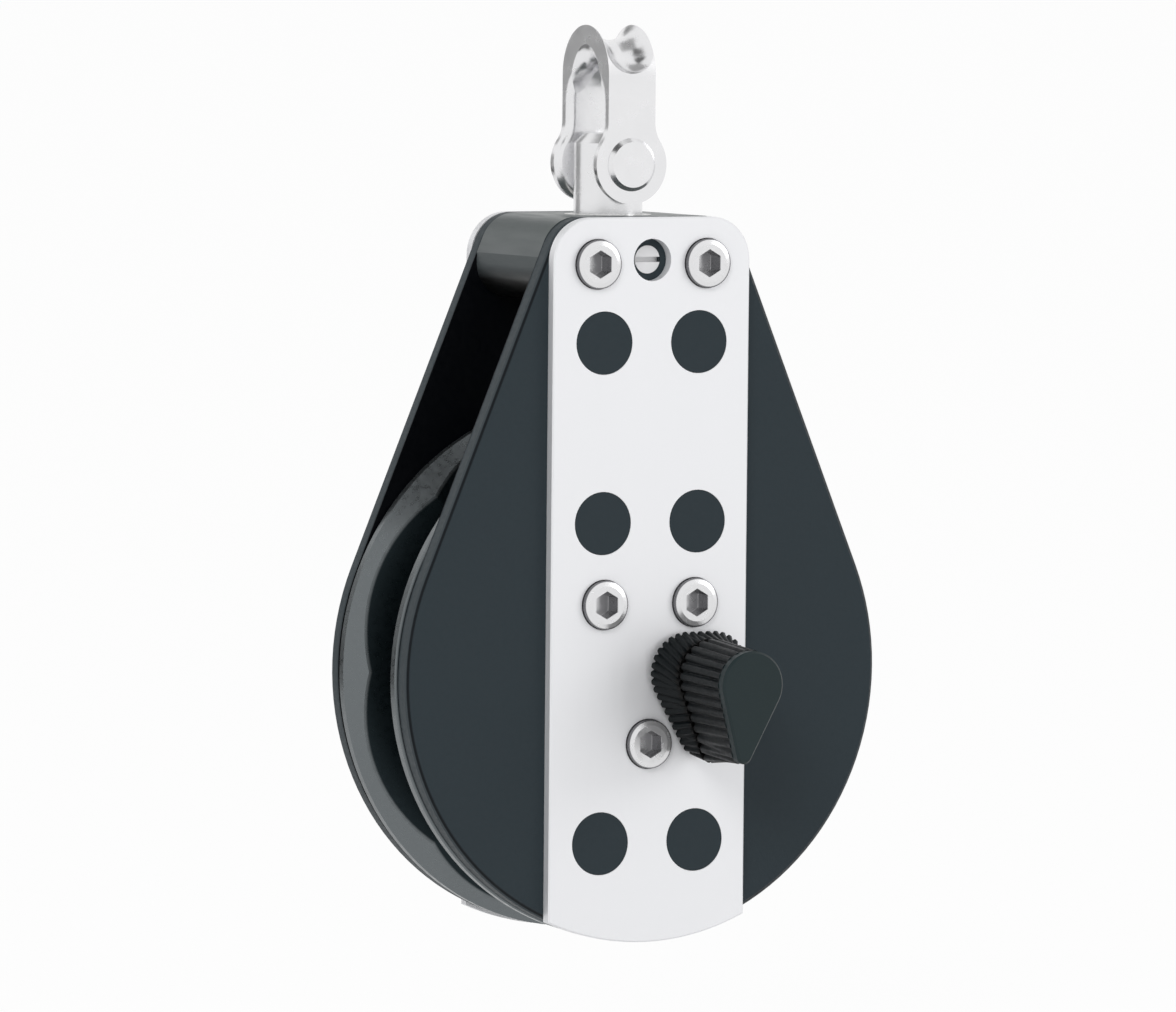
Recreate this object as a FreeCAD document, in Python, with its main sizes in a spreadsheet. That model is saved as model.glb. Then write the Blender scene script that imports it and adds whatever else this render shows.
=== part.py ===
import FreeCAD, Part
import math
import os
import Sketcher

# Single-sheave ratchet block with a swivel post and a shackle.
# The frame has its origin at the centre of the sheave, with X to the right seen from the knob side,
# Y along the sheave's axis from the knob side to the far side, and Z up towards the shackle.
# All sizes are millimetres and degrees.

SIZES = {
    # sheave and its groove
    "sheave_radius": 38.1,
    "sheave_width": 18.1,
    "rim_width": 1.55,
    "rim_chamfer": 0.35,
    "flare_run": 6.9,
    "facet_wall": 4.5,
    "facet_floor_width": 6.8,
    "facet_flank_angle": 18.0,
    "facet_count": 8,
    # cheeks
    "cheek_inset": 0.2,
    "cheek_gap": 0.4,
    "cheek_thickness": 2.6,
    "cheek_bevel": 0.6,
    "head_above_sheave": 27.1,
    "head_top_half_width": 13.83,
    "shoulder_radius": 6.0,
    # straps and the bosses that show through them
    "strap_width": 31.6,
    "strap_thickness": 1.6,
    "strap_corner_radius": 6.2,
    "strap_overhang": 0.2,
    "strap_edge": 0.2,
    "boss_radius": 4.45,
    "boss_gap": 0.06,
    "boss_spread": 7.62,
    "boss_top_below_head": 17.8,
    "boss_middle_height": 21.76,
    "boss_bottom_depth": 23.9,
    # clamping screws and their barrel nuts
    "screw_shank_radius": 2.8,
    "screw_head_radius": 3.5,
    "screw_face_radius": 2.7,
    "screw_head_band": 0.65,
    "screw_head_proud": 0.9,
    "screw_head_sunk": 0.8,
    "screw_seat_gap": 0.12,
    "screw_gap": 0.1,
    "socket_flats": 3.5,
    "socket_depth": 3.0,
    "barrel_overlap": 6.0,
    "head_screw_spread": 8.8,
    "head_screw_below_top": 6.6,
    "hub_screw_spread": 7.28,
    "hub_screw_height": 10.17,
    "hub_screw_depth": 9.89,
    # swivel head
    "head_block_swell": 2.37,
    "head_block_height": 12.2,
    "head_block_upper_radius": 5.5,
    "head_block_lower_radius": 5.0,
    "post_radius": 4.95,
    "post_top_above_pin": 4.35,
    "post_chamfer": 1.4,
    "bush_thickness": 1.25,
    "post_bush_height": 3.7,
    "post_thread_radius": 2.9,
    "lock_groove_radius": 3.8,
    "lock_groove_width": 3.0,
    "nut_flats": 9.6,
    "nut_height": 2.4,
    "nut_pin_radius": 0.5,
    "swivel_washer_thickness": 0.7,
    "washer_pocket_gap": 0.5,
    "nut_corner_gap": 0.46,
    "nut_pocket_depth": 3.6,
    # shackle and its pin
    "pin_above_head": 7.25,
    "pin_radius": 2.38,
    "pin_head_radius": 3.8,
    "pin_head_thickness": 0.62,
    "pin_head_chamfer": 0.54,
    "pin_tail": 2.2,
    "clip_thickness": 0.6,
    "clip_radius": 4.1,
    "clip_groove_radius": 1.75,
    "ear_radius": 5.65,
    "ear_thickness": 2.0,
    "ear_gap": 0.12,
    "leg_half_width": 3.78,
    "waist_radius": 5.0,
    "bow_spring_above_pin": 12.75,
    "eye_spring_above_pin": 8.75,
    "saddle_depth": 2.15,
    "saddle_tube_radius": 4.2,
    "saddle_half_sweep": 62.0,
    "eye_edge_radius": 1.2,
    "crown_radius": 3.82,
    "crown_section_angle": 17.5,
    "crown_side_gap": 0.04,
    "crown_top_gap": 0.03,
    # lock screw
    "lock_below_top": 6.07,
    "lock_radius": 2.0,
    "lock_window_radius": 3.02,
    "lock_sunk": 1.6,
    "lock_dog_radius": 1.2,
    "lock_dog_gap": 0.15,
    "lock_travel": 0.5,
    "lock_stop_gap": 0.1,
    "lock_slot_width": 0.75,
    "lock_slot_depth": 0.9,
    # bearing
    "hub_radius": 17.5,
    "ball_radius": 2.38,
    "ball_gap": 0.03,
    "ball_spacing": 0.3,
    "race_wall": 1.68,
    "race_cover_thickness": 0.55,
    "race_cover_gap": 0.42,
    # ratchet
    "ring_width": 5.0,
    "tooth_back": 2.8,
    "tooth_depth": 1.4,
    "tooth_count": 24,
    "tooth_face_angle": 13.2,
    "tooth_land_angle": 1.0,
    "pawl_width": 4.2,
    "pawl_side_gap": 0.2,
    "pawl_pivot_inset": 3.0,
    "pawl_pivot_angle": -28.0,
    "pawl_boss_radius": 2.5,
    "pawl_pin_radius": 1.5,
    "pawl_swing": 11.0,
    "pawl_tip_gap": 0.7,
    "pawl_tip_back_angle": 3.7,
    "heel_gap": 0.3,
    "heel_thickness": 1.8,
    "pocket_gap": 0.4,
    "spring_thickness": 0.35,
    # knob and its cam shaft
    "knob_x": 7.7,
    "knob_z": 1.0,
    "knob_over_screws": 0.15,
    "knob_height": 17.0,
    "skirt_height": 3.3,
    "knob_seam_width": 0.5,
    "knob_seam_depth": 0.5,
    "grip_rib_count": 28,
    "skirt_rib_count": 42,
    "rib_depth": 0.45,
    "skirt_shoulder_spread": 2.1,
    "skirt_shoulder_radius": 5.85,
    "skirt_shoulder_sink": 0.79,
    "skirt_lobe_radius": 3.42,
    "skirt_lobe_drop": 9.39,
    "grip_root_radius": 5.27,
    "grip_root_sink": 1.0,
    "grip_root_lobe_radius": 1.6,
    "grip_root_lobe_drop": 11.9,
    "grip_end_radius": 4.95,
    "grip_end_sink": 1.46,
    "grip_end_lobe_radius": 1.3,
    "grip_end_lobe_drop": 11.4,
    "grip_end_lobe_shift": 1.25,
    "knob_socket_depth": 9.0,
    "cap_height": 1.5,
    "cap_inset": 0.1,
    "cap_edge": 0.3,
    "tier_bite": 0.5,
    "shaft_radius": 2.5,
    "shaft_pilot_radius": 1.3,
    "shaft_pilot_length": 3.4,
    "cam_radius": 3.0,
    "cam_nose_radius": 2.0,
    "cam_throw": 1.0,
    "bush_radius": 4.2,
    # fits
    "running_gap": 0.05,
    "seat_gap": 0.02,
}

doc = FreeCAD.newDocument("RatchetBlock")
sheet = doc.addObject("Spreadsheet::Sheet", "Sizes")
for row, (alias, number) in enumerate(SIZES.items(), start=1):
    sheet.set(f"A{row}", alias)
    sheet.set(f"B{row}", str(number))
    sheet.setAlias(f"B{row}", alias)
doc.recompute()


class Size:
    """A length or angle with the sheet expression that it stands for."""

    def __init__(self, value, text):
        self.value = value
        self.text = text

    def joined(self, sign, other, value):
        other_text = other.text if isinstance(other, Size) else repr(other)
        return Size(value, f"({self.text} {sign} {other_text})")

    def __add__(self, other):
        return self.joined("+", other, self.value + plain(other))

    def __sub__(self, other):
        return self.joined("-", other, self.value - plain(other))

    def __mul__(self, other):
        return self.joined("*", other, self.value * plain(other))

    def __truediv__(self, other):
        return self.joined("/", other, self.value / plain(other))

    def __neg__(self):
        return Size(-self.value, f"(0 - {self.text})")


def plain(size):
    """The number in a Size, or the number itself."""
    return size.value if isinstance(size, Size) else size


def sine(angle):
    return Size(math.sin(math.radians(plain(angle))), f"sin({angle.text})")


def cosine(angle):
    return Size(math.cos(math.radians(plain(angle))), f"cos({angle.text})")


def root(size):
    return Size(math.sqrt(size.value), f"sqrt({size.text})")


class Sheet:
    """Each sheet cell by its alias."""


s = Sheet()
for alias in SIZES:
    setattr(s, alias, Size(float(sheet.get(alias)), f"Sizes.{alias}"))

# Planes along Y, counted from the sheave's mid-plane.
sheave_half = s.sheave_width / 2
cheek_inner = sheave_half + s.cheek_gap
cheek_face = cheek_inner + s.cheek_thickness
strap_face = cheek_face + s.strap_thickness
ring_half = s.ring_width / 2
pawl_half = s.pawl_width / 2
pocket_half = pawl_half + s.pawl_side_gap
cheek_radius = s.sheave_radius - s.cheek_inset
knob_clearance = s.screw_head_proud + s.knob_over_screws
knob_base = strap_face + knob_clearance
shackle_inner = s.post_radius + s.ear_gap
shackle_outer = shackle_inner + s.ear_thickness

# Heights, counted from the sheave's axis.
head_top = s.sheave_radius + s.head_above_sheave
head_bottom = head_top - s.head_block_height
head_screw_height = head_top - s.head_screw_below_top
lock_height = head_top - s.lock_below_top
pin_height = head_top + s.pin_above_head

# Radii of the bearing, from the hub outwards.
row_radius = s.hub_radius + s.ball_radius + s.ball_gap
race_radius = row_radius + s.ball_radius + s.ball_gap
bore_radius = race_radius + s.race_wall
tooth_root_radius = bore_radius - s.tooth_back
tooth_tip_radius = tooth_root_radius - s.tooth_depth
pawl_tip_radius = tooth_root_radius - s.pawl_tip_gap
ball_count = int(2 * math.pi * row_radius.value / (2 * s.ball_radius.value + s.ball_spacing.value))

FRONT = -1
REAR = 1


def vec(x, y, z):
    return FreeCAD.Vector(plain(x), plain(y), plain(z))


def bind(obj, **properties):
    """Tie each named property of an object to a Size."""
    for name, size in properties.items():
        obj.setExpression(name.replace("__", "."), size.text)
    return obj


def new_body(label):
    body = doc.addObject("PartDesign::Body", label)
    body.Label = label
    return body


def new_sketch(body, role, name, offset=None):
    """A sketch on one of the body's own origin planes, moved along the plane's normal by offset."""
    sketch = body.newObject("Sketcher::SketchObject", f"{body.Name}_{name}")
    plane = [feature for feature in body.Origin.OriginFeatures if feature.Role == role][0]
    sketch.AttachmentSupport = [(plane, "")]
    sketch.MapMode = "FlatFace"
    if offset is not None:
        bind(sketch, AttachmentOffset__Base__z=offset)
    return sketch


def hold(sketch, kind, geometry, point, size):
    """Fix one coordinate of a sketch point from the sketch's origin."""
    if isinstance(size, Size):
        index = sketch.addConstraint(Sketcher.Constraint(kind, -1, 1, geometry, point, size.value))
        sketch.setExpression(f"Constraints[{index}]", size.text)
    else:
        axis = -2 if kind == "DistanceX" else -1
        sketch.addConstraint(Sketcher.Constraint("PointOnObject", geometry, point, axis))


def add_circle(sketch, x, y, radius):
    circle = Part.Circle(vec(x, y, 0), vec(0, 0, 1), radius.value)
    geometry = sketch.addGeometry(circle)
    hold(sketch, "DistanceX", geometry, 3, x)
    hold(sketch, "DistanceY", geometry, 3, y)
    index = sketch.addConstraint(Sketcher.Constraint("Radius", geometry, radius.value))
    sketch.setExpression(f"Constraints[{index}]", radius.text)


def add_outline(sketch, corners):
    """A closed outline of straight runs; each corner is a pair of sizes, or 0 on an axis."""
    first = None
    for index, (x, y) in enumerate(corners):
        nx, ny = corners[(index + 1) % len(corners)]
        line = sketch.addGeometry(Part.LineSegment(vec(x, y, 0), vec(nx, ny, 0)))
        first = line if first is None else first
    for index, (x, y) in enumerate(corners):
        before = first + (index - 1) % len(corners)
        sketch.addConstraint(Sketcher.Constraint("Coincident", before, 2, first + index, 1))
        hold(sketch, "DistanceX", first + index, 1, x)
        hold(sketch, "DistanceY", first + index, 1, y)


def add_pad(body, sketch, name, length, reverse=False, midplane=False):
    pad = body.newObject("PartDesign::Pad", f"{body.Name}_{name}")
    pad.Profile = sketch
    bind(pad, Length=length)
    pad.Reversed = reverse
    pad.Midplane = midplane
    body.Tip = pad
    return pad


def add_pocket(body, sketch, name, length=None, reverse=False, midplane=False):
    """A pocket that goes against the sketch's normal; without a length it goes all the way through."""
    pocket = body.newObject("PartDesign::Pocket", f"{body.Name}_{name}")
    pocket.Profile = sketch
    if length is None:
        pocket.Type = "ThroughAll"
    else:
        bind(pocket, Length=length)
    pocket.Reversed = reverse
    pocket.Midplane = midplane
    body.Tip = pocket
    return pocket


def add_edge_feature(body, kind, name, base, chosen, **properties):
    """A fillet or chamfer of the base's edges that the test picks."""
    doc.recompute()
    edges = [f"Edge{i}" for i, edge in enumerate(base.Shape.Edges, start=1) if chosen(edge)]
    feature = body.newObject(f"PartDesign::{kind}", f"{body.Name}_{name}")
    feature.Base = (base, edges)
    bind(feature, **properties)
    body.Tip = feature
    return feature


def add_polar(body, name, originals, role, count):
    """Copies of features around one of the body's own origin axes."""
    axis = [feature for feature in body.Origin.OriginFeatures if feature.Role == role][0]
    pattern = body.newObject("PartDesign::PolarPattern", f"{body.Name}_{name}")
    pattern.Originals = originals
    pattern.Axis = (axis, [""])
    pattern.Angle = 360.0
    bind(pattern, Occurrences=count)
    body.Tip = pattern
    return pattern


def runs_along_y(edge):
    ends = [vertex.Point for vertex in edge.Vertexes]
    return len(ends) == 2 and math.hypot(ends[0].x - ends[1].x, ends[0].z - ends[1].z) < 1e-6


def feature(label, shape):
    """A plain shape as an object of the document."""
    obj = doc.addObject("Part::Feature", label)
    obj.Label = label
    obj.Shape = shape
    obj.Placement = FreeCAD.Placement()
    return obj


nodes = []


def front_sketch(body, name, y):
    """A sketch seen from the knob side, with its own x and y along X and Z, in the plane Y = y."""
    return new_sketch(body, "XZ_Plane", name, -y if isinstance(y, Size) else None)


def slab(body, name, y_low, y_high, outline):
    """A pad between two planes of Y, with the outline drawn by the given function."""
    sketch = front_sketch(body, name + "_outline", y_high)
    outline(sketch)
    return add_pad(body, sketch, name, y_high - y_low)


def cut(body, name, y_low, y_high, outline):
    """A pocket between two planes of Y."""
    sketch = front_sketch(body, name + "_outline", y_high)
    outline(sketch)
    return add_pocket(body, sketch, name, y_high - y_low, reverse=True)


def span(side, inner, outer):
    """The low and high Y of a layer that lies between two distances on one side."""
    return (-outer, -inner) if side == FRONT else (inner, outer)


def circles(*rounds):
    def draw(sketch):
        for x, z, radius in rounds:
            add_circle(sketch, x, z, radius)
    return draw


def outline_of(corners):
    return lambda sketch: add_outline(sketch, corners)


# Places seen from the knob side, as pairs of X and Z.
cheek_top_half = s.head_top_half_width
corner_square = head_top * head_top + cheek_top_half * cheek_top_half
side_length = root(corner_square - cheek_radius * cheek_radius)
side_sine = (cheek_radius * head_top - side_length * cheek_top_half) / corner_square
side_cosine = (side_length * head_top + cheek_radius * cheek_top_half) / corner_square
screw_places = [
    (s.head_screw_spread, head_screw_height),
    (-s.head_screw_spread, head_screw_height),
    (s.hub_screw_spread, s.hub_screw_height),
    (-s.hub_screw_spread, s.hub_screw_height),
    (0, -s.hub_screw_depth),
]
boss_places = [
    (s.boss_spread, head_top - s.boss_top_below_head),
    (-s.boss_spread, head_top - s.boss_top_below_head),
    (s.boss_spread, s.boss_middle_height),
    (-s.boss_spread, s.boss_middle_height),
    (s.boss_spread, -s.boss_bottom_depth),
    (-s.boss_spread, -s.boss_bottom_depth),
]
pivot_radius = s.hub_radius - s.pawl_pivot_inset
pivot_x = pivot_radius * cosine(s.pawl_pivot_angle)
pivot_z = pivot_radius * sine(s.pawl_pivot_angle)
shank_seat = s.screw_shank_radius + s.seat_gap


def at_places(places, radius):
    return circles(*[(x, z, radius) for x, z in places])


# Cheeks: a disc the size of the sheave that narrows up to the head, with bosses that fill the
# round holes of the strap.
for side, label in ((FRONT, "front_cheek"), (REAR, "rear_cheek")):
    cheek = new_body(label)
    low, high = span(side, cheek_inner, cheek_face)
    slab(cheek, "disc", low, high, circles((0, 0, cheek_radius)))
    tangent_x = cheek_radius * side_cosine
    tangent_z = cheek_radius * side_sine
    plate = slab(cheek, "plate", low, high, outline_of([
        (-tangent_x, tangent_z),
        (tangent_x, tangent_z),
        (cheek_top_half, head_top),
        (-cheek_top_half, head_top),
    ]))

    def is_shoulder(edge):
        return runs_along_y(edge) and edge.Vertexes[0].Z > head_top.value - 0.01

    rounded = add_edge_feature(cheek, "Fillet", "shoulders", plate, is_shoulder, Radius=s.shoulder_radius)

    def is_rim(edge):
        return all(abs(abs(vertex.Y) - cheek_face.value) < 1e-6 for vertex in edge.Vertexes)

    add_edge_feature(cheek, "Chamfer", "bevel", rounded, is_rim, Size=s.cheek_bevel)
    boss_low, boss_high = span(side, cheek_inner, strap_face)
    slab(cheek, "bosses", boss_low, boss_high, at_places(boss_places, s.boss_radius))
    cut(cheek, "screw_holes", low, high, at_places(screw_places, shank_seat))
    if side == FRONT:
        cut(cheek, "bush_hole", low, high, circles((s.knob_x, s.knob_z, s.bush_radius + s.seat_gap)))
        cut(cheek, "lock_hole", low, high, circles((0, lock_height, s.lock_radius + s.running_gap)))
    nodes.append(cheek)

# Straps: flat load plates with a round lower end, one on each cheek.
strap_half = s.strap_width / 2
strap_end_radius = s.sheave_radius + s.strap_overhang
for side, label in ((FRONT, "front_strap"), (REAR, "rear_strap")):
    strap = new_body(label)
    low, high = span(side, cheek_face, strap_face)
    slab(strap, "end", low, high, circles((0, 0, strap_end_radius)))
    far = strap_end_radius * 2
    cut(strap, "left_side", low, high, outline_of([
        (-far, -far), (-strap_half, -far), (-strap_half, far), (-far, far)]))
    cut(strap, "right_side", low, high, outline_of([
        (strap_half, -far), (far, -far), (far, far), (strap_half, far)]))
    plate = slab(strap, "plate", low, high, outline_of([
        (-strap_half, 0), (strap_half, 0), (strap_half, head_top), (-strap_half, head_top)]))

    def is_corner(edge):
        return runs_along_y(edge) and edge.Vertexes[0].Z > head_top.value - 0.01

    rounded = add_edge_feature(strap, "Fillet", "corners", plate, is_corner, Radius=s.strap_corner_radius)

    def is_outer_edge(edge):
        return all(abs(abs(vertex.Y) - strap_face.value) < 1e-6 for vertex in edge.Vertexes)

    add_edge_feature(strap, "Chamfer", "edges", rounded, is_outer_edge, Size=s.strap_edge)
    cut(strap, "boss_holes", low, high, at_places(boss_places, s.boss_radius + s.boss_gap))
    cut(strap, "screw_holes", low, high, at_places(screw_places, s.screw_shank_radius + s.screw_gap))
    sunk_low, sunk_high = span(side, strap_face - s.screw_head_sunk, strap_face)
    seat_radius = s.screw_head_radius + s.screw_seat_gap
    cut(strap, "screw_seats", sunk_low, sunk_high, at_places(screw_places, seat_radius))
    if side == FRONT:
        cut(strap, "bush_hole", low, high, circles((s.knob_x, s.knob_z, s.bush_radius + s.seat_gap)))
        cut(strap, "lock_window", low, high, circles((0, lock_height, s.lock_window_radius)))
    nodes.append(strap)

# Head block: spreads the cheeks at the top and carries the swivel post.
head = new_body("head_block")
block_half_width = cheek_top_half + s.head_block_swell
kink = head_top - s.head_block_swell * side_cosine / side_sine
head_plate = slab(head, "block", -cheek_inner, cheek_inner, outline_of([
    (-block_half_width, head_bottom),
    (block_half_width, head_bottom),
    (block_half_width, kink),
    (cheek_top_half, head_top),
    (-cheek_top_half, head_top),
    (-block_half_width, kink),
]))


def is_upper_corner(edge):
    return runs_along_y(edge) and edge.Vertexes[0].Z > head_top.value - 0.01


def is_lower_corner(edge):
    return runs_along_y(edge) and edge.Vertexes[0].Z < head_bottom.value + 0.01


upper = add_edge_feature(
    head, "Fillet", "upper", head_plate, is_upper_corner, Radius=s.head_block_upper_radius)
add_edge_feature(head, "Fillet", "lower", upper, is_lower_corner, Radius=s.head_block_lower_radius)
pocket_top = head_bottom + s.nut_pocket_depth
post_bore = s.post_radius + s.running_gap
bush_outer = post_bore + s.bush_thickness
bush_bottom = head_top - s.post_bush_height


def round_hole(body, name, z_low, z_high, radius):
    """A hole along Z about the post's axis."""
    sketch = new_sketch(body, "XY_Plane", name + "_outline", z_high)
    add_circle(sketch, 0, 0, radius)
    return add_pocket(body, sketch, name, z_high - z_low)


round_hole(head, "bore", head_bottom, head_top, post_bore)
round_hole(head, "bush_seat", bush_bottom, head_top, bush_outer + s.seat_gap)
nut_corner = s.nut_flats / math.sqrt(3)
nut_pocket_radius = nut_corner + s.nut_corner_gap
round_hole(head, "nut_pocket", head_bottom, pocket_top, nut_pocket_radius)
screw_end = cheek_inner - s.barrel_overlap
head_screws = screw_places[:2]
hub_screws = screw_places[2:]
for side, name in ((FRONT, "front_holes"), (REAR, "rear_holes")):
    low, high = span(side, screw_end, cheek_inner)
    cut(head, name, low, high, at_places(head_screws, shank_seat))
cut(head, "lock_hole", -cheek_inner, -s.post_radius / 2,
    circles((0, lock_height, s.lock_radius + s.running_gap)))
nodes.append(head)

# Hub: the fixed middle of the bearing, in two halves that meet at the back of the pawl pocket.
hub_front = new_body("hub_front")
slab(hub_front, "drum", -cheek_inner, pocket_half, circles((0, 0, s.hub_radius)))
cam_reach = s.cam_radius + s.cam_throw
pocket_left = s.knob_x - cam_reach - s.pocket_gap
pocket_roof = s.knob_z + cam_reach + s.pocket_gap
heel_top = s.knob_z - cam_reach - s.heel_gap
boss_clear = s.pawl_boss_radius + s.pocket_gap
tip_angle = s.tooth_face_angle - s.pawl_tip_back_angle
cut(hub_front, "pawl_pocket", -pocket_half, pocket_half, outline_of([
    (pocket_left, pocket_roof),
    (s.knob_x + cam_reach, pocket_roof),
    (s.hub_radius * 1.4, s.knob_z + s.hub_radius * 0.38),
    (s.hub_radius * 1.4, pivot_z),
    (pivot_x + s.pawl_boss_radius, pivot_z - boss_clear * 2),
    (pivot_x - s.pawl_boss_radius, pivot_z - boss_clear),
    (pocket_left, heel_top - s.heel_thickness - s.pocket_gap),
]))
low, high = span(FRONT, screw_end, cheek_inner)
cut(hub_front, "screw_holes", low, high, at_places(hub_screws, shank_seat))
cut(hub_front, "shaft_bore", -cheek_inner, -pocket_half,
    circles((s.knob_x, s.knob_z, s.shaft_radius + s.running_gap)))
cut(hub_front, "pin_bore", -screw_end, -pocket_half,
    circles((pivot_x, pivot_z, s.pawl_pin_radius + s.seat_gap)))
nodes.append(hub_front)

hub_rear = new_body("hub_rear")
slab(hub_rear, "drum", pocket_half, cheek_inner, circles((0, 0, s.hub_radius)))
low, high = span(REAR, screw_end, cheek_inner)
cut(hub_rear, "screw_holes", low, high, at_places(hub_screws, shank_seat))
pilot_end = pocket_half + s.shaft_pilot_length
cut(hub_rear, "pilot_bore", pocket_half, pilot_end + s.pawl_side_gap,
    circles((s.knob_x, s.knob_z, s.shaft_pilot_radius + s.running_gap)))
cut(hub_rear, "pin_bore", pocket_half, screw_end,
    circles((pivot_x, pivot_z, s.pawl_pin_radius + s.seat_gap)))
nodes.append(hub_rear)

# Pawl pin: fixed in both halves of the hub.
pawl_pin = new_body("pawl_pin")
slab(pawl_pin, "pin", -screw_end, screw_end, circles((pivot_x, pivot_z, s.pawl_pin_radius)))
nodes.append(pawl_pin)

# Race covers: thin rings on the hub that keep the balls in.
for side, label in ((FRONT, "front_race_cover"), (REAR, "rear_race_cover")):
    cover = new_body(label)
    low, high = span(side, sheave_half - s.race_cover_thickness, sheave_half)
    slab(cover, "ring", low, high, circles(
        (0, 0, race_radius - s.race_cover_gap), (0, 0, s.hub_radius + s.seat_gap)))
    nodes.append(cover)

# Sheave: two thin rims, a flared groove and eight flat facets that grip the line.
sheave = new_body("sheave")
sketch = new_sketch(sheave, "YZ_Plane", "profile")
groove_half = sheave_half - s.rim_width
add_outline(sketch, [
    (-sheave_half, bore_radius),
    (sheave_half, bore_radius),
    (sheave_half, s.sheave_radius - s.rim_chamfer),
    (sheave_half - s.rim_chamfer, s.sheave_radius),
    (groove_half, s.sheave_radius),
    (groove_half - s.flare_run, s.sheave_radius - s.flare_run),
    (s.flare_run - groove_half, s.sheave_radius - s.flare_run),
    (-groove_half, s.sheave_radius),
    (s.rim_chamfer - sheave_half, s.sheave_radius),
    (-sheave_half, s.sheave_radius - s.rim_chamfer),
])
turned = sheave.newObject("PartDesign::Revolution", "sheave_turned")
turned.Profile = sketch
turned.ReferenceAxis = (sketch, ["H_Axis"])
turned.Angle = 360.0
sheave.Tip = turned
sketch = new_sketch(sheave, "YZ_Plane", "facet_outline")
facet_apothem = bore_radius + s.facet_wall
facet_rise = s.sheave_radius * 1.15 - facet_apothem
facet_slope = sine(s.facet_flank_angle) / cosine(s.facet_flank_angle)
facet_spread = s.facet_floor_width / 2 + facet_rise * facet_slope
add_outline(sketch, [
    (-s.facet_floor_width / 2, facet_apothem),
    (s.facet_floor_width / 2, facet_apothem),
    (facet_spread, s.sheave_radius * 1.15),
    (-facet_spread, s.sheave_radius * 1.15),
])
facet = add_pocket(sheave, sketch, "facet", s.sheave_radius * 3, midplane=True)
add_polar(sheave, "facets", [facet], "Y_Axis", s.facet_count)
sheave.Placement = FreeCAD.Placement(vec(0, 0, 0), FreeCAD.Rotation(vec(0, 1, 0), 22.5))
bind(sheave, Placement__Rotation__Angle=Size(180 / s.facet_count.value, "180 / Sizes.facet_count"))
nodes.append(sheave)

# Ratchet ring: inward saw teeth pressed into the middle of the sheave.
ring = new_body("ratchet_ring")
slab(ring, "ring", -ring_half, ring_half, circles(
    (0, 0, bore_radius), (0, 0, tooth_tip_radius)))
pitch = Size(360 / s.tooth_count.value, "(360 / Sizes.tooth_count)")
ramp_angle = s.tooth_face_angle - pitch + s.tooth_land_angle
below_tip = tooth_tip_radius - 1


def polar(radius, angle):
    return (radius * cosine(angle), radius * sine(angle))


notch = cut(ring, "notch", -ring_half, ring_half, outline_of([
    polar(below_tip, s.tooth_face_angle),
    polar(below_tip, ramp_angle),
    polar(tooth_tip_radius, ramp_angle),
    polar(tooth_root_radius, s.tooth_face_angle),
]))
add_polar(ring, "notches", [notch], "Y_Axis", s.tooth_count)
nodes.append(ring)

# Outer races and ball rows, one on each side of the ratchet ring.
row_y = (ring_half + sheave_half) / 2
for side, label in ((FRONT, "front_outer_race"), (REAR, "rear_outer_race")):
    race = new_body(label)
    low, high = span(side, ring_half, sheave_half)
    slab(race, "ring", low, high, circles((0, 0, bore_radius), (0, 0, race_radius)))
    nodes.append(race)


def lay_along_y(solid, x, z, y_low, y_high, turn=0, **sizes):
    """Lay a primitive of the given height along Y, turned about its own axis."""
    upright = FreeCAD.Rotation(vec(0, 1, 0), turn).multiply(FreeCAD.Rotation(vec(1, 0, 0), 90))
    solid.Placement = FreeCAD.Placement(vec(x, y_high, z), upright)
    bind(solid, Height=y_high - y_low, Placement__Base__y=y_high, Placement__Base__z=z, **sizes)
    if isinstance(x, Size):
        bind(solid, Placement__Base__x=x)
    return solid


def group(label, members):
    """Several equal solids as one sub-part."""
    several = doc.addObject("Part::Compound", label)
    several.Label = label
    several.Links = members
    return several


for side, label in ((FRONT, "ball_row_front"), (REAR, "ball_row_rear")):
    balls = []
    for index in range(ball_count):
        turn = Size(360 * index / ball_count, f"(360 * {index} / {ball_count})")
        ball = doc.addObject("Part::Sphere", f"{label}_{index}")
        ball.Placement = FreeCAD.Placement(vec(0, 0, 0), FreeCAD.Rotation())
        x, z = row_radius * cosine(turn), row_radius * sine(turn)
        bind(ball, Radius=s.ball_radius, Placement__Base__x=x, Placement__Base__y=row_y * side,
             Placement__Base__z=z)
        balls.append(ball)
    nodes.append(group(label, balls))

# Screws: five on each side, with low tapered heads and hexagon sockets.
for side, label in ((FRONT, "front_screws"), (REAR, "rear_screws")):
    screws = []
    head_face = strap_face + s.screw_head_proud
    band_face = strap_face + s.screw_head_band
    for index, (x, z) in enumerate(screw_places):
        name = f"{label}_{index}"
        low, high = span(side, screw_end, strap_face)
        shank = lay_along_y(doc.addObject("Part::Cylinder", name + "_shank"), x, z, low, high,
                            Radius=s.screw_shank_radius)
        low, high = span(side, strap_face - s.screw_head_sunk, band_face)
        band = lay_along_y(doc.addObject("Part::Cylinder", name + "_band"), x, z, low, high,
                           Radius=s.screw_head_radius)
        low, high = span(side, band_face, head_face)
        ends = (s.screw_head_radius, s.screw_face_radius) if side == FRONT else (
            s.screw_face_radius, s.screw_head_radius)
        taper = lay_along_y(doc.addObject("Part::Cone", name + "_taper"), x, z, low, high,
                            Radius1=ends[0], Radius2=ends[1])
        low, high = span(side, head_face - s.socket_depth, head_face)
        socket = doc.addObject("Part::Prism", name + "_socket")
        socket.Polygon = 6
        lay_along_y(socket, x, z, low, high, turn=30, Circumradius=s.socket_flats / math.sqrt(3))
        solid = doc.addObject("Part::MultiFuse", name + "_solid")
        solid.Shapes = [shank, band, taper]
        screw = doc.addObject("Part::Cut", name)
        screw.Base, screw.Tool = solid, socket
        screws.append(screw)
    nodes.append(group(label, screws))


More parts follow.
